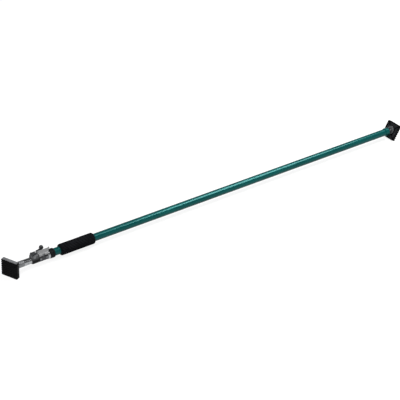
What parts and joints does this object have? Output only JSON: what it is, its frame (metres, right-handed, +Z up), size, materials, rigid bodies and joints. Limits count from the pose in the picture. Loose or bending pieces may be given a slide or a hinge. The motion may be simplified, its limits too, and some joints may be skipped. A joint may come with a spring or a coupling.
{
  "type": "telescopic prop",
  "caption": "Telescopic support prop lying closed: sliding tubes, pump lever clamp, foam grip and swivelling square rubber pads that brace it between two surfaces.",
  "frame": {"origin": "on the floor under the middle of the closed prop", "axes": "+X along the pole from the pump clamp's end to the flared end, +Z up from the floor"},
  "size_m": [1.9322, 0.0754, 0.0752],
  "materials": {
    "teal_paint": "satin",
    "bright_plate": "polished",
    "cast_zinc": "satin",
    "grey_sheet": "satin",
    "zinc_steel": "satin",
    "hard_steel": "satin",
    "black_plastic": "matte",
    "grey_plastic": "matte",
    "bush_plastic": "matte",
    "black_rubber": "matte",
    "black_foam": "matte"
  },
  "bodies": {
    "outer": {"outer_tube": "teal_paint", "tube_ring": "bright_plate", "end_collar": "black_plastic", "foam_grip": "black_foam", "head_cap": "teal_paint", "head_cap_pin": "teal_paint", "mouth_bush": "bush_plastic", "clamp_trough": "zinc_steel", "nose_block": "cast_zinc", "nose_bush": "bush_plastic", "lever_pin": "zinc_steel", "lever_pin_clip": "zinc_steel", "tube_rivets": "zinc_steel", "nose_rivets": "zinc_steel", "lever_spring": "hard_steel", "cam_spring": "hard_steel"},
    "inner": {"inner_tube": "bright_plate", "tail_guide": "bush_plastic", "foot_plug": "cast_zinc", "foot_plug_pin": "zinc_steel"},
    "lever": {"lever_plate": "grey_sheet", "drive_cam": "hard_steel", "lever_rivets": "zinc_steel"},
    "release": {"holding_cam": "hard_steel", "cam_shaft": "zinc_steel", "release_arm": "zinc_steel", "release_knob": "black_plastic"},
    "foot_stud": {"foot_ball_stud": "bright_plate", "foot_stud_clip": "hard_steel"},
    "foot_pad": {"foot_sole": "black_rubber", "foot_plate": "black_plastic", "foot_socket_ring": "grey_plastic", "foot_screws": "zinc_steel"},
    "head_stud": {"head_ball_stud": "bright_plate", "head_stud_clip": "hard_steel"},
    "head_pad": {"head_sole": "black_rubber", "head_plate": "black_plastic", "head_socket_ring": "grey_plastic", "head_screws": "zinc_steel"}
  },
  "joints": [
    {"name": "inner_slide", "type": "slide", "parent": "outer", "child": "inner", "axis": [-1, 0, 0], "range_m": [0, 1.325]},
    {"name": "lever_pump", "type": "hinge", "parent": "outer", "child": "lever", "pos_m": [-0.84443, 0, 0.05586], "axis": [0, -1, 0], "range_deg": [0, 40], "stiffness_Nm_per_rad": 0.2, "springref_deg": -11.46},
    {"name": "cam_release", "type": "hinge", "parent": "outer", "child": "release", "pos_m": [-0.80843, 0, 0.05586], "axis": [0, 1, 0], "range_deg": [0, 25], "stiffness_Nm_per_rad": 0.1, "springref_deg": -11.46},
    {"name": "foot_spin", "type": "hinge", "parent": "inner", "child": "foot_stud", "pos_m": [-0.93743, 0, 0.03761], "axis": [1, 0, 0], "continuous": true},
    {"name": "foot_tilt", "type": "hinge", "parent": "foot_stud", "child": "foot_pad", "pos_m": [-0.93743, 0, 0.03761], "axis": [0, 0, 1], "range_deg": [-69, 15]},
    {"name": "head_spin", "type": "hinge", "parent": "outer", "child": "head_stud", "pos_m": [0.93657, 0, 0.03761], "axis": [1, 0, 0], "continuous": true},
    {"name": "head_tilt", "type": "hinge", "parent": "head_stud", "child": "head_pad", "pos_m": [0.93657, 0, 0.03761], "axis": [0, 1, 0], "range_deg": [-72.59, 11.41]}
  ]
}
